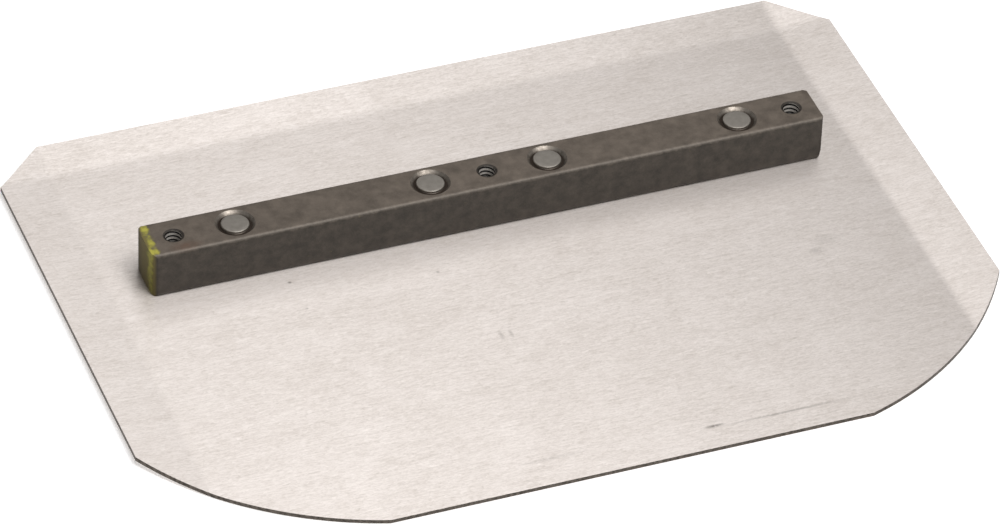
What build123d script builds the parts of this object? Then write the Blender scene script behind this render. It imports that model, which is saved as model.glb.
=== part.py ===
from build123d import *
import math
import os

# A steel float blade for a walk-behind power trowel: a sheet steel plate with three turned-up
# margins, and a tapped square bar riveted across it.
# Frame: millimetres, +Z up, the origin on the working underside, in the middle of the plate.
# X runs along the plate and the bar. +Y points to the turned-up back edge.

# Driving dimensions: the plate
plate_length = 355.6            # 14 inches
plate_width = 254.0             # 10 inches
sheet_thickness = 1.7           # 15 gauge
corner_cut_x = 21.0             # straight cut across each back corner
corner_cut_y = 20.0
front_straight = 196.0          # straight part of the front edge, between the two corner arcs
side_straight_front = -65.0     # y at which each straight side meets its corner arc
corner_arc_radius = 142.0

# Driving dimensions: the turned-up margins
side_margin = 22.0              # width of the left and right margins
back_margin = 18.0              # width of the back margin
side_rise = 1.8                 # height gained across a side margin
back_rise = 2.2
bend_radius = 40.0              # inside radius of each bend

# Driving dimensions: the bar
bar_length = 280.8              # 11 inches nominal, sheared a little long at the left end
bar_x = -0.7                    # the middle of the bar, which the longer left end moves
bar_width = 20.6
bar_height = 20.3
bar_y = 35.0                    # centre line of the bar, behind the middle of the plate
bar_edge_radius = 1.5           # rounded long edges of rolled bar
bar_corner_cut = 1.8            # each upright corner is knocked off at the sawn ends

# Driving dimensions: the tapped holes, 5/16-18 UNC, drawn plain at the major diameter
thread_major_radius = 3.97
hole_pitch = 129.6              # from the middle hole to each outer hole
mouth_chamfer = 0.45

# Driving dimensions: the rivets and their holes
shank_radius = 4.0
countersink_radius = 8.0        # mouth of the 90 degree countersink in the top of the bar
button_radius = 5.6             # formed end of the rivet, standing in the countersink
button_edge_radius = 0.5
button_recess = 0.1             # the formed end stops just below the top of the bar
groove_depth = 1.3              # the rivet's metal fills the countersink up to this far below the top
inner_rivet_x = 24.5
outer_rivet_x = 105.3
rivet_row_shift = 0.8           # the rivets were punched as a row, a little to one side

# Worked out from the driving dimensions
bar_bottom = sheet_thickness
bar_top = sheet_thickness + bar_height
plate_head_radius = shank_radius + sheet_thickness      # 90 degree flush head under the plate
countersink_depth = countersink_radius - shank_radius
trim_allowance = 6.0            # how far the folded sheet runs past its outline before trimming
trim_height = 20.0              # how far the trimming prism reaches above and below

rivet_places = [
    ("rivet_outer_left", -outer_rivet_x + rivet_row_shift),
    ("rivet_inner_left", -inner_rivet_x + rivet_row_shift),
    ("rivet_inner_right", inner_rivet_x + rivet_row_shift),
    ("rivet_outer_right", outer_rivet_x + rivet_row_shift),
]
tapped_hole_places = [-hole_pitch, 0.0, hole_pitch]


def plate_outline():
    """Plan of the plate: cut back corners, straight sides and front, arcs between them."""
    half_length = plate_length / 2
    half_width = plate_width / 2
    half_front = front_straight / 2
    back_right = (half_length - corner_cut_x, half_width)
    side_back_right = (half_length, half_width - corner_cut_y)
    side_front_right = (half_length, side_straight_front)
    front_right = (half_front, -half_width)
    front_left = (-half_front, -half_width)
    side_front_left = (-half_length, side_straight_front)
    side_back_left = (-half_length, half_width - corner_cut_y)
    back_left = (-half_length + corner_cut_x, half_width)
    edges = [
        Line(back_left, back_right),
        Line(back_right, side_back_right),
        Line(side_back_right, side_front_right),
        RadiusArc(side_front_right, front_right, corner_arc_radius),
        Line(front_right, front_left),
        RadiusArc(front_left, side_front_left, corner_arc_radius),
        Line(side_front_left, side_back_left),
        Line(side_back_left, back_left),
    ]
    return make_face(edges)


def sheet_section():
    """Section across the plate: the sheet's thickness, flat, with both side margins turned up."""
    angle = math.atan(side_rise / side_margin)
    fold = plate_length / 2 - side_margin
    reach = plate_length / 2 + trim_allowance
    height = (reach - fold) * math.tan(angle)
    underside = FilletPolyline(
        (-reach, height),
        (-fold, 0),
        (fold, 0),
        (reach, height),
        radius=bend_radius + sheet_thickness,
    )
    top_fold = fold - sheet_thickness * math.tan(angle / 2)
    top_height = sheet_thickness + (reach - top_fold) * math.tan(angle)
    top = FilletPolyline(
        (-reach, top_height),
        (-top_fold, sheet_thickness),
        (top_fold, sheet_thickness),
        (reach, top_height),
        radius=bend_radius,
    )
    ends = [Line((-reach, height), (-reach, top_height)), Line((reach, height), (reach, top_height))]
    return make_face([*underside.edges(), *top.edges(), *ends])


def folded_sheet():
    """The section run from front to back, bent up once more along the back margin."""
    angle = math.atan(back_rise / back_margin)
    fold = plate_width / 2 - back_margin
    back = plate_width / 2 + trim_allowance
    run = FilletPolyline(
        (0, -back, 0),
        (0, fold, 0),
        (0, back, (back - fold) * math.tan(angle)),
        radius=bend_radius + sheet_thickness,
    )
    start = Plane(origin=(0, -back, 0), x_dir=(1, 0, 0), z_dir=(0, -1, 0))
    return sweep(start * sheet_section(), path=run)


def make_blade_plate():
    """The folded sheet trimmed to its outline, with a flush countersink for each rivet."""
    plate = folded_sheet() & extrude(plate_outline(), trim_height, both=True)
    upwards = (Align.CENTER, Align.CENTER, Align.MIN)
    for _, x in rivet_places:
        hole = Cone(plate_head_radius, shank_radius, sheet_thickness, align=upwards)
        plate -= Pos(x, bar_y, 0) * hole
    return plate


def make_mounting_bar():
    """Rolled square bar with knocked-off end corners, three tapped holes and four rivet holes."""
    rolled = Plane.YZ * RectangleRounded(bar_width, bar_height, bar_edge_radius)
    bar = extrude(rolled, bar_length / 2, both=True)
    plan = chamfer(Rectangle(bar_length, bar_width).vertices(), bar_corner_cut)
    bar = bar & extrude(plan, bar_height, both=True)
    bar = Pos(bar_x, bar_y, bar_bottom + bar_height / 2) * bar
    for x in tapped_hole_places:
        bar -= tapped_hole_tool(x)
    for _, x in rivet_places:
        bar -= rivet_hole_tool(x)
    return bar


def tapped_hole_tool(x):
    """A plain bore at the thread's major diameter, with a small chamfer at its mouth."""
    section = Polyline(
        (0, bar_bottom),
        (thread_major_radius, bar_bottom),
        (thread_major_radius, bar_top - mouth_chamfer),
        (thread_major_radius + mouth_chamfer, bar_top),
        (0, bar_top),
        close=True,
    )
    return Pos(x, bar_y, 0) * revolve(Plane.XZ * make_face(section), Axis.Z)


def rivet_hole_tool(x):
    """A clearance-free rivet hole with a 90 degree countersink in the top of the bar."""
    section = Polyline(
        (0, bar_bottom),
        (shank_radius, bar_bottom),
        (shank_radius, bar_top - countersink_depth),
        (countersink_radius, bar_top),
        (0, bar_top),
        close=True,
    )
    return Pos(x, bar_y, 0) * revolve(Plane.XZ * make_face(section), Axis.Z)


def make_rivet(x):
    """Solid rivet: flush head in the plate, shank through the bar, spread in the countersink."""
    button_top = bar_top - button_recess
    section = Polyline(
        (0, 0),
        (plate_head_radius, 0),
        (shank_radius, sheet_thickness),
        (shank_radius, bar_top - countersink_depth),
        (countersink_radius - groove_depth, bar_top - groove_depth),
        (button_radius, bar_top - groove_depth),
        (button_radius, button_top - button_edge_radius),
        (button_radius - button_edge_radius, button_top),
        (0, button_top),
        close=True,
    )
    return Pos(x, bar_y, 0) * revolve(Plane.XZ * make_face(section), Axis.Z)


os.makedirs("parts", exist_ok=True)
pieces = {"blade_plate": make_blade_plate(), "mounting_bar": make_mounting_bar()}
for rivet_name, rivet_x in rivet_places:
    pieces[rivet_name] = make_rivet(rivet_x)
for node, shape in pieces.items():
    export_step(shape, f"parts/{node}.step")
    box = shape.bounding_box()
    print(f"{node}: volume {shape.volume:.1f} mm3, from {box.min} to {box.max}")
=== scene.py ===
import math

import bmesh
import bpy
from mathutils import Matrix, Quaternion, Vector


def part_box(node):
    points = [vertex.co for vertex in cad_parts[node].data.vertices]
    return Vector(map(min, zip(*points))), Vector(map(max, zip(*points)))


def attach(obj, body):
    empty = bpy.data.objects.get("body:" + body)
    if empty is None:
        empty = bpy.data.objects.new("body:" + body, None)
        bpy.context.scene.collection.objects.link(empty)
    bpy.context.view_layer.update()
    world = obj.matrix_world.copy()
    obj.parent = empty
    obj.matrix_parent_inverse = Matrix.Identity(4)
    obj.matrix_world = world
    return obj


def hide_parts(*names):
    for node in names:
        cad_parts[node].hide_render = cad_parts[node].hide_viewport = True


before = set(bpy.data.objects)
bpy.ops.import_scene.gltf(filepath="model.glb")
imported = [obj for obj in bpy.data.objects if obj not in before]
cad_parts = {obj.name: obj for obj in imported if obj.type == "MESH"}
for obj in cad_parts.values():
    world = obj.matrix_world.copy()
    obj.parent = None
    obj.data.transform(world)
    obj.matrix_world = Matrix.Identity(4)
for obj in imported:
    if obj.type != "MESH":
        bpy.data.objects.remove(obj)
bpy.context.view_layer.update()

mm = 0.001


def only(piece):                                   # leaves one piece selected, in object mode
    if bpy.context.mode != "OBJECT":
        bpy.ops.object.mode_set(mode="OBJECT")
    bpy.ops.object.select_all(action="DESELECT")
    piece.select_set(True)
    bpy.context.view_layer.objects.active = piece


def edit(piece):
    only(piece)
    bpy.ops.object.mode_set(mode="EDIT")
    bpy.ops.mesh.select_all(action="SELECT")


def pick(piece, kind, test):                       # in edit mode; kind is "verts", "edges" or "faces"
    bpy.ops.mesh.select_mode(type={"verts": "VERT", "edges": "EDGE", "faces": "FACE"}[kind])
    bpy.ops.mesh.select_all(action="DESELECT")
    mesh = bmesh.from_edit_mesh(piece.data)
    for element in getattr(mesh, kind):
        if test(element):
            element.select_set(True)
    bmesh.update_edit_mesh(piece.data)


def newPiece(name, primitive, place=(0, 0, 0), scale=(1, 1, 1), **settings):
    if bpy.context.mode != "OBJECT":
        bpy.ops.object.mode_set(mode="OBJECT")
    bpy.ops.object.select_all(action="DESELECT")
    getattr(bpy.ops.mesh, f"primitive_{primitive}_add")(location=place, **settings)
    piece = bpy.context.object
    piece.name = piece.data.name = name
    piece.scale = scale
    bpy.ops.object.transform_apply(location=True, rotation=True, scale=True)
    return piece


def modify(piece, kind, **settings):               # adds a modifier and applies it
    only(piece)
    modifier = piece.modifiers.new(kind.title(), kind)
    for setting, value in settings.items():
        setattr(modifier, setting, value)
    bpy.ops.object.modifier_apply(modifier=modifier.name)


def cutWith(piece, tool):                          # the tool is used up
    modify(piece, "BOOLEAN", object=tool, operation="DIFFERENCE", solver="EXACT", material_mode="TRANSFER")
    bpy.data.objects.remove(tool)


def sliceAt(point, normal, **settings):            # in edit mode: cuts the whole mesh along a plane
    bpy.ops.mesh.select_all(action="SELECT")
    bpy.ops.mesh.bisect(
        plane_co=point, plane_no=Vector(normal).normalized(), threshold=0.001 * mm, **settings)


def sliceGrid(low, high, axis, step):              # even cuts between two heights along an axis
    count = math.ceil((high - low) / step)
    normal = [float(i == axis) for i in range(3)]
    for i in range(1, count):
        place = low + (high - low) * i / count
        sliceAt([place * n for n in normal], normal)


def turned(name, profile, place=(0, 0), sides=64):  # a disc drawn up through (radius, height) stations
    radius, height = profile[0]
    piece = newPiece(name, "circle", (*place, height), vertices=sides, radius=radius, fill_type="NGON")
    edit(piece)
    for nextRadius, nextHeight in profile[1:]:
        share = nextRadius / radius
        bpy.ops.mesh.extrude_region_move(TRANSFORM_OT_translate={"value": (0, 0, nextHeight - height)})
        bpy.ops.transform.resize(value=(share, share, 1), center_override=(*place, nextHeight))
        radius, height = nextRadius, nextHeight
    bpy.ops.mesh.select_all(action="SELECT")
    bpy.ops.mesh.normals_make_consistent(inside=False)
    only(piece)
    return piece


def copyTo(piece, name, x):                        # a copy with its own mesh, moved along X
    only(piece)
    bpy.ops.object.duplicate(linked=False)
    double = bpy.context.object
    double.name = double.data.name = name
    double.location.x += x
    bpy.ops.object.transform_apply(location=True, rotation=True, scale=True)
    return double


def roughen(piece, depth, grain):                  # the unevenness that rolling and hammering leave
    clouds = bpy.data.textures.new(piece.name + "Unevenness", "CLOUDS")
    clouds.noise_scale = grain
    clouds.noise_depth = 1
    modify(piece, "DISPLACE", texture=clouds, strength=depth, mid_level=0.5, texture_coords="LOCAL")
    bpy.data.textures.remove(clouds)


def finishPiece(piece, node, smooth=32):
    only(piece)
    bpy.ops.object.shade_smooth_by_angle(angle=math.radians(smooth))
    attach(piece, "root")
    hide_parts(node)


camera = dict(
    azimuth=-22.01,             # degrees round from the front
    elevation=39.01,
    roll=2.35,
    distance=2.5363,
    lens=233.42,
    target=(-5.99 * mm, 2.63 * mm, 1.94 * mm),
)

azimuth = math.radians(camera["azimuth"])
elevation = math.radians(camera["elevation"])
backwards = Vector((
    math.sin(azimuth) * math.cos(elevation),
    -math.cos(azimuth) * math.cos(elevation),
    math.sin(elevation),
))
cameraData = bpy.data.cameras.new("camera")
cameraData.lens = camera["lens"]
cameraData.clip_start = 0.05
cameraData.clip_end = 50
cameraObject = bpy.data.objects.new("camera", cameraData)
bpy.context.scene.collection.objects.link(cameraObject)
cameraObject.location = Vector(camera["target"]) + backwards * camera["distance"]
cameraObject.rotation_mode = "QUATERNION"
cameraObject.rotation_quaternion = (
    (-backwards).to_track_quat("-Z", "Y") @ Quaternion((0, 0, 1), math.radians(camera["roll"]))
)
bpy.context.scene.camera = cameraObject
bpy.context.scene.view_settings.view_transform = "Standard"
print("camera placed")


def colour(hexValue):                              # sRGB hex to linear
    channels = [int(hexValue[i:i + 2], 16) / 255 for i in (1, 3, 5)]
    return [c / 12.92 if c <= 0.04045 else ((c + 0.055) / 1.055) ** 2.4 for c in channels] + [1.0]


def newMaterial(name):
    material = bpy.data.materials.new(name)
    material.use_nodes = True
    material.node_tree.nodes.clear()
    return material, material.node_tree


def addNode(tree, kind, inputs=(), out=0, **settings):
    # inputs by name or in order; one that is another node's output is linked. Gives back an output
    node = tree.nodes.new("ShaderNode" + kind)
    for setting, value in settings.items():
        setattr(node, setting, value)
    for place, value in inputs.items() if isinstance(inputs, dict) else enumerate(inputs):
        if isinstance(value, bpy.types.NodeSocket):
            tree.links.new(value, node.inputs[place])
        else:
            node.inputs[place].default_value = value
    return node.outputs[out] if node.outputs else node


noiseSpan = (0.3, 0.7)          # where most of a noise texture's values lie

plateLook = dict(
    steel="#F6EFEB",            # clean low-carbon sheet, a little warm
    dullSteel="#B6ADA5",        # the same steel between the belt's strokes
    roughness=0.48,
    roughnessSpread=0.06,
    anisotropy=0.8,
    # layers of strokes and pits: length, width, share of the tone
    strokes=(
        (4.2 * mm, 0.75 * mm, 0.36),
        (14 * mm, 0.5 * mm, 0.12),
        (1.7 * mm, 1.1 * mm, 0.28),
        (60 * mm, 9 * mm, 0.10),
        (38 * mm, 38 * mm, 0.12),
    ),
    waver=1.0,                  # how far a stroke bends
    bumpDepth=0.012 * mm,
    mark="#5F5750",
    ragged=1.1 * mm,            # size of the flecks that break a mark up
    raggedSpan=(0.3, 0.5),
    raggedLeast=0.3,
    # scuffs and spots: place, half length, half width in mm, strength
    marks=(
        (115, -29, 4.5, 2.5, 0.30),
        (121, -24, 7.0, 4.0, 0.16),
        (37, -115, 5.0, 1.0, 0.95),
        (66, -116, 30.0, 0.9, 0.50),
        (-28, -113, 16.0, 1.6, 0.22),
        (-88, 17, 1.1, 0.9, 0.90),
        (-31, 5, 1.1, 0.9, 0.60),
        (-87, 0, 1.0, 0.9, 0.60),
        (-21, -39, 1.2, 4.0, 0.40),
        (-17, -39, 1.0, 3.6, 0.40),
    ),
)


def brushedSheetSteel():
    # cold-rolled sheet finished on a wide abrasive belt: short fine strokes along its length, which
    # smear what it mirrors from front to back. The strokes are drawn coarse enough to show
    look = plateLook
    material, tree = newMaterial("brushedSheetSteel")
    place = addNode(tree, "TexCoord", out="Object")
    share = 0.0
    for length, width, weight in look["strokes"]:
        stretched = addNode(tree, "Mapping", {"Vector": place, "Scale": (1 / length, 1 / width, 1 / length)})
        noise = addNode(tree, "TexNoise", {
            "Vector": stretched, "Scale": 1.0, "Detail": 3.0, "Roughness": 0.6, "Distortion": look["waver"]})
        crisp = addNode(tree, "MapRange", (noise, *noiseSpan))
        share = addNode(tree, "Math", (crisp, weight, share), operation="MULTIPLY_ADD")
    base = addNode(tree, "Mix", {
        0: share, 6: colour(look["dullSteel"]), 7: colour(look["steel"])}, 2, data_type="RGBA")
    marked = 0.0
    for x, y, reachX, reachY, strength in look["marks"]:
        local = addNode(tree, "Mapping", {
            "Vector": place, "Location": (x * mm, y * mm, sheetMiddle),
            "Scale": (reachX * mm, reachY * mm, 10 * mm)}, vector_type="TEXTURE")
        spot = addNode(tree, "TexGradient", {"Vector": local}, "Fac", gradient_type="SPHERICAL")
        marked = addNode(tree, "Math", (spot, strength, marked), operation="MULTIPLY_ADD")
    breakUp = addNode(tree, "TexNoise", {"Vector": place, "Scale": 1 / look["ragged"]})
    ragged = addNode(tree, "MapRange", (breakUp, *look["raggedSpan"], look["raggedLeast"]))
    marking = addNode(tree, "Math", (marked, ragged), operation="MULTIPLY", use_clamp=True)
    dirty = addNode(tree, "Mix", {0: marking, 6: base, 7: colour(look["mark"])}, 2, data_type="RGBA")
    roughness, spread = look["roughness"], look["roughnessSpread"]
    rough = addNode(tree, "MapRange", (share, 0.0, 1.0, roughness + spread, roughness - spread))
    bump = addNode(tree, "Bump", {"Height": share, "Distance": look["bumpDepth"]})
    tangent = addNode(tree, "Tangent", direction_type="UV_MAP", uv_map="UVMap")
    shader = addNode(tree, "BsdfPrincipled", {
        "Base Color": dirty, "Metallic": 1.0, "Roughness": rough, "Normal": bump,
        "Anisotropic": look["anisotropy"], "Anisotropic Rotation": 0.25, "Tangent": tangent,
    })
    addNode(tree, "OutputMaterial", [shader])
    return material


barLook = dict(
    scale=("#34302B", "#5B544C"),       # mill scale, the dark oxide skin of hot-rolled steel, thick and thin
    litAndRubbedScale=("#554C43", "#776C61"),     # the same skin on the top and bottom, paler: partly skin polished by stacking, partly painted light on the top
    thinSpan=(0.45, 0.95),
    levelSpan=(0.6, 0.95),      # how level a face is, from the side tone to the paler top tone, which is partly painted light
    blotch=5 * mm,
    patch=1.8 * mm,
    grain=0.5 * mm,
    grainShare=0.4,
    bare="#8F8478",             # steel rubbed bare along the edges, also standing in for their painted highlight
    bareAndHighlightSpan=(0.6, 1.05),
    bareAndHighlightMost=0.45,
    bareAndHighlightPatches=0.9,
    rust="#6E4F3D",
    rustPlace=(-127 * mm, 27.5 * mm),       # a smear in front of the left tapped hole
    rustReach=(8 * mm, 3.5 * mm, 3 * mm),
    metallic=0.15,
    roughness=0.52,
    bumpDepth=0.06 * mm,
)

# the mill's yellow-green mark on the bar's left end. Each fade runs from none to full, measured inwards
paintMark = dict(
    colours=("#7A7338", "#BFB84C"),     # thin and thick
    oldColour="#7F7344",
    filmFade=(1.4 * mm, 0.5 * mm),      # old film: along the bar from its end
    filmShare=(0.3, 0.95),              # its cover at the back, and from the middle forwards
    bandFade=(4.4 * mm, 2.4 * mm),      # band along the top edge: along the bar from its end
    bandWear=(-0.3 * mm, 1.0 * mm),     # rubbed thinner again at the very end
    bandWornTo=0.3,
    bandDepth=(2.6 * mm, 1.0 * mm),     # down from the top
    bandStrength=0.7,
    frontWear=(0.5 * mm, 2.0 * mm),     # back from the front corner
    stripFade=(9.5 * mm, 4.5 * mm),
    stripStrength=(0.85, 1.25),         # at the bottom and the top
    # drops along the top edge: how far back from the front, and how wide
    drops=((2.6 * mm, 2.6 * mm), (8.0 * mm, 2.2 * mm), (17.0 * mm, 3.0 * mm)),
    dropInset=2.0 * mm,
    dropStrength=0.8,
    ragged=1.6,
    coverSpan=(1.1, 1.75),
    coverMost=0.92,
    thickSpan=(1.3, 2.2),               # from thin paint to thick
)


def millScaleSteel():
    # hot-rolled bar under its dull dark oxide skin, paler on top (partly rubbed, partly painted light), bare
    # along the upper rounded edges with a painted highlight there, and a dab of the mill's marking paint on
    # its left end
    look, mark = barLook, paintMark
    material, tree = newMaterial("millScaleSteel")
    place = addNode(tree, "TexCoord", out="Object")
    axes = addNode(tree, "SeparateXYZ", [place]).node.outputs
    facing = addNode(tree, "SeparateXYZ", [addNode(tree, "TexCoord", out="Normal")]).node.outputs
    grain, blotch, patch = [
        addNode(tree, "TexNoise", {
            "Vector": place, "Scale": 1 / look[size], "Detail": detail, "Roughness": 0.6})
        for size, detail in (("grain", 3.0), ("blotch", 5.0), ("patch", 3.0))]

    mottled = addNode(tree, "Math", (grain, look["grainShare"], blotch), operation="MULTIPLY_ADD")
    thin = addNode(tree, "MapRange", (mottled, *look["thinSpan"]))
    # level faces get a paler skin: partly rubbed, partly painted light on the top
    sides, flats = [
        addNode(tree, "Mix", {0: thin, 6: colour(thick), 7: colour(pale)}, 2, data_type="RGBA")
        for thick, pale in (look["scale"], look["litAndRubbedScale"])]
    level = addNode(tree, "Math", [facing[2]], operation="ABSOLUTE")
    skin = addNode(tree, "Mix", {
        0: addNode(tree, "MapRange", (level, *look["levelSpan"])), 6: sides, 7: flats},
        2, data_type="RGBA")

    # rubbed bare along the two upper edges, in patches, with a painted highlight there: the surface faces
    # both up and outwards, towards the lamps
    upward = addNode(tree, "Math", (facing[2], 0.0), operation="MAXIMUM")
    sideways = addNode(tree, "Math", [facing[1]], operation="ABSOLUTE")
    turning = addNode(tree, "Math", (upward, sideways), operation="MULTIPLY")
    rubbedAndHighlit = addNode(tree, "Math", (patch, look["bareAndHighlightPatches"], turning), operation="MULTIPLY_ADD")
    bareAndHighlightShare = addNode(tree, "MapRange", (rubbedAndHighlit, *look["bareAndHighlightSpan"], 0.0, look["bareAndHighlightMost"]))
    wornAndHighlit = addNode(tree, "Mix", {0: bareAndHighlightShare, 6: skin, 7: colour(look["bare"])}, 2, data_type="RGBA")

    local = addNode(tree, "Mapping", {
        "Vector": place, "Location": (*look["rustPlace"], barHigh.z), "Scale": look["rustReach"]},
        vector_type="TEXTURE")
    smear = addNode(tree, "TexGradient", {"Vector": local}, "Fac", gradient_type="SPHERICAL")
    rusting = addNode(tree, "Math", (smear, patch), operation="MULTIPLY")
    rusty = addNode(tree, "Mix", {0: rusting, 6: wornAndHighlit, 7: colour(look["rust"])}, 2, data_type="RGBA")

    # marking paint: a thin old film over the end, then a band along its top edge with thick drops, and a
    # strip down it just behind its front corner
    endX, topZ, frontY = barLow.x, barHigh.z, barLow.y
    onEnd, nearEnd = [
        addNode(tree, "MapRange", (axes[0], *[endX + inwards for inwards in mark[fade]]))
        for fade in ("filmFade", "bandFade")]
    offEnd = addNode(tree, "MapRange", (
        axes[0], *[endX + inwards for inwards in mark["bandWear"]], mark["bandWornTo"]))
    nearTop = addNode(tree, "MapRange", (axes[2], *[topZ - down for down in mark["bandDepth"]]))
    offFront, nearFront = [
        addNode(tree, "MapRange", (axes[1], *[frontY + back for back in mark[fade]]))
        for fade in ("frontWear", "stripFade")]
    filmed = addNode(tree, "MapRange", (
        axes[1], barHigh.y - 1 * mm, barMiddle + 2 * mm, *mark["filmShare"]))
    filming = addNode(tree, "Math", (onEnd, filmed), operation="MULTIPLY")
    film = addNode(tree, "Mix", {
        0: filming, 6: rusty, 7: colour(mark["oldColour"])}, 2, data_type="RGBA")
    thick = mark["bandStrength"]
    for share in (nearEnd, offEnd, nearTop, offFront):
        thick = addNode(tree, "Math", (thick, share), operation="MULTIPLY")
    strip = addNode(tree, "MapRange", (axes[2], barLow.z + 1 * mm, topZ, *mark["stripStrength"]))
    for share in (onEnd, offFront, nearFront):
        strip = addNode(tree, "Math", (strip, share), operation="MULTIPLY")
    thick = addNode(tree, "Math", (thick, strip), operation="MAXIMUM")
    for back, reach in mark["drops"]:
        local = addNode(tree, "Mapping", {
            "Vector": place, "Location": (endX + mark["dropInset"], frontY + back, topZ),
            "Scale": (reach, reach, reach)}, vector_type="TEXTURE")
        drop = addNode(tree, "TexGradient", {"Vector": local}, "Fac", gradient_type="SPHERICAL")
        thick = addNode(tree, "Math", (drop, mark["dropStrength"], thick), operation="MULTIPLY_ADD")
    ragged = addNode(tree, "Math", (patch, mark["ragged"], thick), operation="MULTIPLY_ADD")
    painted = addNode(tree, "MapRange", (ragged, *mark["coverSpan"], 0.0, mark["coverMost"]))
    thinPaint, thickPaint = [colour(hexValue) for hexValue in mark["colours"]]
    fresh = addNode(tree, "Mix", {
        0: addNode(tree, "MapRange", (ragged, *mark["thickSpan"])), 6: thinPaint, 7: thickPaint},
        2, data_type="RGBA")
    finished = addNode(tree, "Mix", {0: painted, 6: film, 7: fresh}, 2, data_type="RGBA")
    shader = addNode(tree, "BsdfPrincipled", {
        "Base Color": finished, "Roughness": look["roughness"],
        "Metallic": addNode(tree, "MapRange", (painted, 0.0, 1.0, look["metallic"], 0.0)),
        "Normal": addNode(tree, "Bump", {"Height": mottled, "Distance": look["bumpDepth"]})})
    addNode(tree, "OutputMaterial", [shader])
    return material


# plain cut or pressed steel. Where shade depths are given, painted shade darkens it deeper than the first
# depth below the bar's top and leaves it clean above the second, so a rivet's head under the plate is dark
# too
steelLook = dict(
    # the sheet's cut rim: torn steel under a film of oil
    shearedEdge=dict(
        dark="#3F3A35", pale="#6E665E", grain=1.2 * mm, metallic=0.9, roughness=0.5, depth=0.06 * mm),
    # thread: bright new steel on its crests with painted shade deeper down, and painted shade, near-black,
    # in its grooves
    tappedSteel=dict(
        dark="#D4CDC5", pale="#F6F1EA", grain=0.8 * mm, metallic=0.05, roughness=0.34, depth=0.01 * mm,
        shadeDepths=(8 * mm, 4 * mm)),
    # the thread's grooves: painted near-black for the shade in them
    shadedGrooveSteel=dict(
        dark="#181411", pale="#2E2925", grain=0.8 * mm, metallic=0.3, roughness=0.5, depth=0.01 * mm),
    # hole's mouth: a torn burr, painted dark for the shade at the hole's rim
    burredSteel=dict(
        dark="#2A2622", pale="#4A433C", grain=1.1 * mm, metallic=0.4, roughness=0.5, depth=0.03 * mm),
    # countersink: drilled dry and left, with painted shade towards its bottom
    drilledSteel=dict(
        dark="#8E857B", pale="#C0B6AB", grain=1.4 * mm, metallic=0.9, roughness=0.42, depth=0.02 * mm,
        shadeDepths=(1.7 * mm, 0.7 * mm)),
    # rivet: soft wire upset by a press, dull and smooth, with painted shade low in its groove and on its
    # head under the plate
    upsetSteel=dict(
        dark="#9B958D", pale="#AAA49C", grain=2.4 * mm, metallic=0.9, roughness=0.5, depth=0.02 * mm,
        shadeDepths=(1.2 * mm, 0.5 * mm)),
)
# colour of the painted shade deep in the holes and grooves
paintedShade = "#3F362F"
steelRoughnessSpread = 0.04


def plainSteel(name, dark, pale, grain, metallic, roughness, depth, shadeDepths=None):
    material, tree = newMaterial(name)
    place = addNode(tree, "TexCoord", out="Object")
    noise = addNode(tree, "TexNoise", {"Vector": place, "Scale": 1 / grain, "Detail": 4.0})
    share = addNode(tree, "MapRange", (noise, *noiseSpan))
    base = addNode(tree, "Mix", {0: share, 6: colour(dark), 7: colour(pale)}, 2, data_type="RGBA")
    # painted shade: darker with depth below the bar's top
    if shadeDepths:
        height = addNode(tree, "SeparateXYZ", [place]).node.outputs[2]
        unshaded = addNode(tree, "MapRange", (height, barHigh.z - shadeDepths[0], barHigh.z - shadeDepths[1]))
        base = addNode(tree, "Mix", {0: unshaded, 6: colour(paintedShade), 7: base}, 2, data_type="RGBA")
    spread = steelRoughnessSpread
    rough = addNode(tree, "MapRange", (share, 0.0, 1.0, roughness + spread, roughness - spread))
    bump = addNode(tree, "Bump", {"Height": noise, "Distance": depth})
    shader = addNode(tree, "BsdfPrincipled", {
        "Base Color": base, "Metallic": metallic, "Roughness": rough, "Normal": bump})
    addNode(tree, "OutputMaterial", [shader])
    return material


plateLow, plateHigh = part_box("blade_plate")
barLow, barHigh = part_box("mounting_bar")
barMiddle = (barLow.y + barHigh.y) / 2
sheetThickness = barLow.z
sheetMiddle = sheetThickness / 2
halfLength, halfWidth = plateHigh.x, plateHigh.y

sheetSteel = brushedSheetSteel()
barSteel = millScaleSteel()
sheetEdge, crestSteel, grooveSteel, mouthSteel, sinkSteel, rivetSteel = [
    plainSteel(name, **look) for name, look in steelLook.items()]
print("materials ready")


plate = dict(
    cornerCut=(21 * mm, 20 * mm),   # straight cut across each back corner
    sideEnd=-65 * mm,               # where a straight side meets its corner arc
    frontHalf=98 * mm,              # half the straight part of the front edge
    arcRadius=142 * mm,
    arcCuts=26,
    sideMargin=22 * mm,
    backMargin=18 * mm,
    sideRise=1.8 * mm,
    backRise=2.2 * mm,
    bendRadius=40 * mm + sheetThickness,    # at the underside
    bendSteps=8,
    bendRest=0.5 * mm,              # flat strips beside each bend keep the flat parts flat to the eye
    grid=12 * mm,
    allowance=4 * mm,
    edgeBreak=0.1 * mm,
    shankRadius=4 * mm,             # the rivets' flush heads are let into the underside
    headRadius=4 * mm + sheetThickness,
)
rivetPlaces = {
    "rivet_outer_left": -104.5 * mm,
    "rivet_inner_left": -23.7 * mm,
    "rivet_inner_right": 25.3 * mm,
    "rivet_outer_right": 106.1 * mm,
}


def turnUpMargin(piece, outwards, reach, margin, rise):  # bends up what lies past a fold, step by step
    angle = math.atan(rise / margin)
    steps = plate["bendSteps"]
    bend = plate["bendRadius"] * angle
    places = [reach - margin - bend / 2 + bend * (i + 0.5) / steps for i in range(steps)]
    axis = "Y" if outwards.x else "X"
    turn = (outwards.x - outwards.y) * angle / steps
    rest = plate["bendRest"]
    for place in (places[0] - rest, *places, places[-1] + rest):
        sliceAt(outwards * place, outwards)
    for place in reversed(places):
        pick(piece, "verts", lambda v: v.co.dot(outwards) > place + 0.01 * mm)
        bpy.ops.transform.rotate(value=turn, orient_axis=axis, orient_type="GLOBAL",
                                 center_override=outwards * place)


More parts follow.
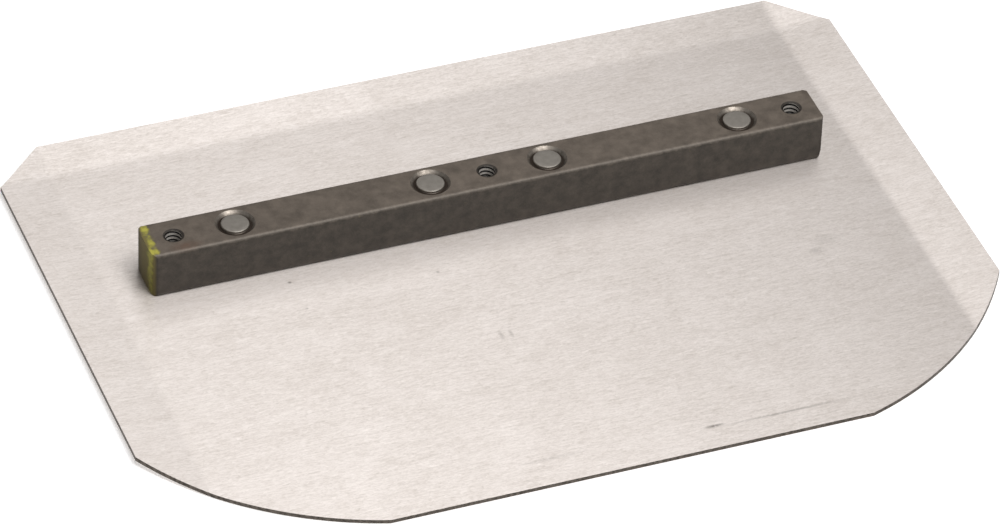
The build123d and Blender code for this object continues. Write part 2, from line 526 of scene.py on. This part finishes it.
def trimCorner(side):                              # straight cut at the back, arc at the front
    cutX, cutY = plate["cornerCut"]
    trim = dict(clear_outer=True)
    sliceAt((side * halfLength, halfWidth - cutY, 0), (side * cutY, cutX, 0), **trim)
    sideEnd = Vector((side * halfLength, plate["sideEnd"], 0))
    frontEnd = Vector((side * plate["frontHalf"], -halfWidth, 0))
    middle, chord = (sideEnd + frontEnd) / 2, frontEnd - sideEnd
    inwards = Vector((-middle.x, -middle.y, 0))
    square = Vector((-chord.y, chord.x, 0)).normalized()
    if square.dot(inwards) < 0:
        square.negate()
    centre = middle + square * math.sqrt(plate["arcRadius"] ** 2 - (chord.length / 2) ** 2)
    start = math.atan2(*(sideEnd - centre).yx)
    sweep = (math.atan2(*(frontEnd - centre).yx) - start + math.pi) % (2 * math.pi) - math.pi
    for i in range(plate["arcCuts"]):
        angle = start + sweep * (i + 0.5) / plate["arcCuts"]
        normal = Vector((math.cos(angle), math.sin(angle), 0))
        sliceAt(centre + normal * plate["arcRadius"], normal, **trim)


def makePlate():
    wide = 2 * plate["allowance"]
    piece = newPiece("bladePlate", "plane", size=1, scale=(2 * halfLength + wide, 2 * halfWidth + wide, 1))
    edit(piece)
    sliceGrid(-halfLength, halfLength, 0, plate["grid"])
    sliceGrid(-halfWidth, halfWidth, 1, plate["grid"])
    for side in (1, -1):
        turnUpMargin(piece, Vector((side, 0, 0)), halfLength, plate["sideMargin"], plate["sideRise"])
    turnUpMargin(piece, Vector((0, 1, 0)), halfWidth, plate["backMargin"], plate["backRise"])
    for side in (1, -1):
        sliceAt((side * halfLength, 0, 0), (side, 0, 0), clear_outer=True)
        sliceAt((0, side * halfWidth, 0), (0, side, 0), clear_outer=True)
        trimCorner(side)
    modify(piece, "SOLIDIFY", thickness=sheetThickness, offset=1, use_even_offset=True)
    for x in rivetPlaces.values():
        profile = [
            (plate["headRadius"] + 1 * mm, -1 * mm),
            (plate["shankRadius"] - 1 * mm, sheetThickness + 1 * mm),
        ]
        cutWith(piece, turned("rivetSeat", profile, (x, barMiddle)))
    modify(piece, "BEVEL", width=plate["edgeBreak"], segments=2, limit_method="ANGLE",
           angle_limit=math.radians(50))
    piece.data.materials.clear()
    piece.data.materials.append(sheetSteel)
    piece.data.materials.append(sheetEdge)
    edit(piece)
    pick(piece, "faces", lambda f: abs(f.normal.z) < 0.8)
    piece.active_material_index = 1
    bpy.ops.object.material_slot_assign()
    finishPiece(piece, "blade_plate", smooth=20)


makePlate()
print("blade plate made")


bar = dict(
    edgeRadius=1.5 * mm,
    # upright corners at the ends: (end, side): radius, and in how many flats it is knocked round
    corners={(-1, -1): (2.4 * mm, 4), (-1, 1): (3.2 * mm, 1), (1, -1): (2.0 * mm, 3), (1, 1): (3.4 * mm, 1)},
    endBulge=(0.45 * mm, 9.5 * mm),     # how far the sheared left end swells, and half the width of it
    bulgeSteps=6,
    chip=(1.7 * mm, 4.2 * mm),          # torn off the bottom of the right end: along the bar, and up
    endBreak=0.45 * mm,
    grid=3.5 * mm,
    unevenness=0.10 * mm,
    unevennessGrain=14 * mm,
    holes=(-129.6 * mm, 0, 129.6 * mm),
    threadPitch=1.9 * mm,           # coarser than the standard 1.41 mm, so that it shows
    threadMajor=3.969 * mm,
    threadMinor=3.205 * mm,
    grooveShare=0.66,               # of the pitch, at the tool's inner end: the crests are left blunt
    grooveRoot=1 / 6,               # of that width, at the groove's root
    threadSteps=40,
    mouthChamfer=0.25 * mm,
    mouthDepth=0.35 * mm,
    sinkRadius=8 * mm,
)


def tapTool():                                     # a V-shaped thread wound up round the hole's axis
    pitch = bar["threadPitch"]
    depth = bar["threadMajor"] - bar["threadMinor"]
    inside = 0.4 * mm                              # how far the tool starts inside the drilled wall
    piece = newPiece("tapTool", "plane", size=1, scale=(depth + inside, bar["grooveShare"] * pitch, 1))
    edit(piece)
    bpy.ops.transform.rotate(value=math.radians(90), orient_axis="X", center_override=(0, 0, 0))
    bpy.ops.transform.translate(value=((bar["threadMajor"] + bar["threadMinor"] - inside) / 2, 0, 0))
    pick(piece, "verts", lambda v: v.co.x > bar["threadMinor"])
    bpy.ops.transform.resize(value=(1, 1, bar["grooveRoot"]), center_override=(0, 0, 0))
    bpy.ops.mesh.select_all(action="SELECT")
    bpy.ops.mesh.delete(type="ONLY_FACE")
    turns = math.ceil((barHigh.z - barLow.z) / pitch) + 1
    modify(piece, "SCREW", axis="Z", screw_offset=pitch, iterations=turns, angle=2 * math.pi,
           steps=bar["threadSteps"], render_steps=bar["threadSteps"])
    edit(piece)
    bpy.ops.mesh.fill_holes(sides=4)
    bpy.ops.mesh.select_all(action="SELECT")
    bpy.ops.mesh.normals_make_consistent(inside=False)
    bpy.ops.transform.translate(value=(0, barMiddle, barLow.z - pitch))
    only(piece)
    piece.data.materials.append(grooveSteel)
    return piece


def drillTool(name, profile, material):
    piece = turned(name, profile, (0, barMiddle))
    piece.data.materials.append(material)
    return piece


def makeBar():
    size = barHigh - barLow
    centre = (barLow + barHigh) / 2
    piece = newPiece("mountingBar", "cube", centre, size, size=1)
    piece.data.materials.append(barSteel)
    edit(piece)
    pick(piece, "edges", lambda e: abs(e.verts[0].co.x - e.verts[1].co.x) > size.x / 2)
    bpy.ops.mesh.bevel(offset=bar["edgeRadius"], segments=6, affect="EDGES")
    shorten = dict(clear_outer=True, use_fill=True)
    for (endX, sideY), (radius, flats) in bar["corners"].items():
        pivot = centre + Vector((endX * (size.x / 2 - radius), sideY * (size.y / 2 - radius), 0))
        for i in range(flats):
            angle = math.radians(90 * (i + 0.5) / flats)
            normal = Vector((endX * math.cos(angle), sideY * math.sin(angle), 0))
            sliceAt(pivot + normal * radius, normal, **shorten)
    along, up = bar["chip"]
    sliceAt((barHigh.x - along, 0, barLow.z), (up, 0, -along), **shorten)
    only(piece)
    modify(piece, "BEVEL", width=bar["endBreak"], segments=3, limit_method="ANGLE",
           angle_limit=math.radians(30))
    edit(piece)
    for axis in range(3):
        sliceGrid(barLow[axis], barHigh[axis], axis, bar["grid"])
    rest = bar["edgeRadius"] + 0.3 * mm            # narrow strips keep the flat faces flat to the eye
    for axis, normal in ((1, (0, 1, 0)), (2, (0, 0, 1))):
        for place in (barLow[axis] + rest, barHigh[axis] - rest):
            sliceAt([place * n for n in normal], normal)
    swell, swellWidth = bar["endBulge"]
    steps = bar["bulgeSteps"]
    for i in range(steps):
        reach = swellWidth * math.sqrt((i + 1) / steps)
        pick(piece, "verts", lambda v: v.co.x < barLow.x + 0.1 * mm and abs(v.co.y - barMiddle) < reach)
        bpy.ops.transform.translate(value=(-swell / steps, 0, 0))
    roughen(piece, bar["unevenness"], bar["unevennessGrain"])
    minor, mouth = bar["threadMinor"], bar["threadMajor"] + bar["mouthChamfer"]
    shank, sink = plate["shankRadius"], bar["sinkRadius"]
    over = 1 * mm                                  # how far a tool reaches past what it cuts
    below, above = barLow.z - over, barHigh.z + over
    drill = drillTool("drill", [(minor, below), (minor, above)], crestSteel)
    slope = (mouth - minor) / bar["mouthDepth"]
    deburr = drillTool("deburr", [
        (minor - over * slope, barHigh.z - bar["mouthDepth"] - over),
        (mouth + over * slope, above)], mouthSteel)
    sinkTool = drillTool("sinkTool", [
        (shank, below), (shank, barHigh.z - (sink - shank)), (sink + over, above)], sinkSteel)
    holes = bar["holes"]
    for tool, places in (
        (drill, holes), (tapTool(), holes), (deburr, holes), (sinkTool, rivetPlaces.values())
    ):
        for x in places:
            cutWith(piece, copyTo(tool, tool.name + "Copy", x))
        bpy.data.objects.remove(tool)
    finishPiece(piece, "mounting_bar")


makeBar()
print("mounting bar made")


rivet = dict(
    buttonRadius=5.6 * mm,
    buttonRecess=0.1 * mm,
    grooveDepth=1.3 * mm,           # the rivet's metal fills the countersink up to this far below the top
    rim=0.32 * mm,                  # radius of the button's rolled edge
    rimSteps=5,
    crown=0.05 * mm,                # how much higher the button is in its middle
    crownStations=(0.8, 0.55, 0.3, 0.1),
)


def makeRivets():
    top = barHigh.z - rivet["buttonRecess"]
    groove = barHigh.z - rivet["grooveDepth"]
    shank, button, rim = plate["shankRadius"], rivet["buttonRadius"], rivet["rim"]
    flat, rimCentre = button - rim, top - rim - rivet["crown"]
    profile = [
        (plate["headRadius"], 0.02 * mm),
        (shank, sheetThickness),
        (shank, barHigh.z - (bar["sinkRadius"] - shank)),
        (bar["sinkRadius"] - rivet["grooveDepth"], groove),
        (button + 0.3 * mm, groove + 0.05 * mm),
        (button, groove + 0.3 * mm),
        (button, rimCentre),
    ]
    for i in range(rivet["rimSteps"]):
        angle = math.radians(90 / rivet["rimSteps"] * (i + 1))
        profile.append((flat + rim * math.cos(angle), rimCentre + rim * math.sin(angle)))
    for share in rivet["crownStations"]:
        profile.append((flat * share, top - rivet["crown"] * share ** 2))
    first = turned("rivet", profile, (0, barMiddle))
    first.data.materials.append(rivetSteel)
    for node, x in rivetPlaces.items():
        words = node.split("_")
        piece = copyTo(first, words[0] + "".join(word.title() for word in words[1:]), x)
        finishPiece(piece, node)
    bpy.data.objects.remove(first)


makeRivets()
print("rivets made")


stage = dict(
    floor="#FFFFFF",
    floorGlow=0.35,
    floorDepth=0.2 * mm,
    world="#FFFFFF",
    worldStrength=0.122,
    boxSize=0.9,
    # softboxes that face the part: place and watts
    boxes=dict(
        topBox=((0, -0.26, 1.477), 8.6),
        rightBox=((0.375, -0.65, 1.3), 9.8),
        backBox=((0.375, 0.65, 1.3), 2.7),
    ),
)


def whiteFilm():
    # the white film of a light table, faintly lit from below so that it stays white round the part
    material, tree = newMaterial("whiteFilm")
    shader = addNode(tree, "BsdfPrincipled", {
        "Base Color": colour(stage["floor"]), "Roughness": 0.9,
        "Emission Color": colour(stage["floor"]), "Emission Strength": stage["floorGlow"]})
    addNode(tree, "OutputMaterial", [shader])
    return material


floor = newPiece("floor", "plane", (0, 0, plateLow.z - stage["floorDepth"]), size=12)
floor.data.materials.append(whiteFilm())

world = bpy.data.worlds.new("studio")
bpy.context.scene.world = world
world.use_nodes = True
background = world.node_tree.nodes["Background"]
background.inputs[0].default_value = colour(stage["world"])
background.inputs[1].default_value = stage["worldStrength"]

for name, (place, watts) in stage["boxes"].items():
    boxData = bpy.data.lights.new(name, "AREA")
    boxData.size = stage["boxSize"]
    boxData.energy = watts
    box = bpy.data.objects.new(name, boxData)
    bpy.context.scene.collection.objects.link(box)
    box.location = place
    box.rotation_mode = "QUATERNION"
    box.rotation_quaternion = (-box.location).to_track_quat("-Z", "Y")
print("light ready")

bpy.context.view_layer.update()
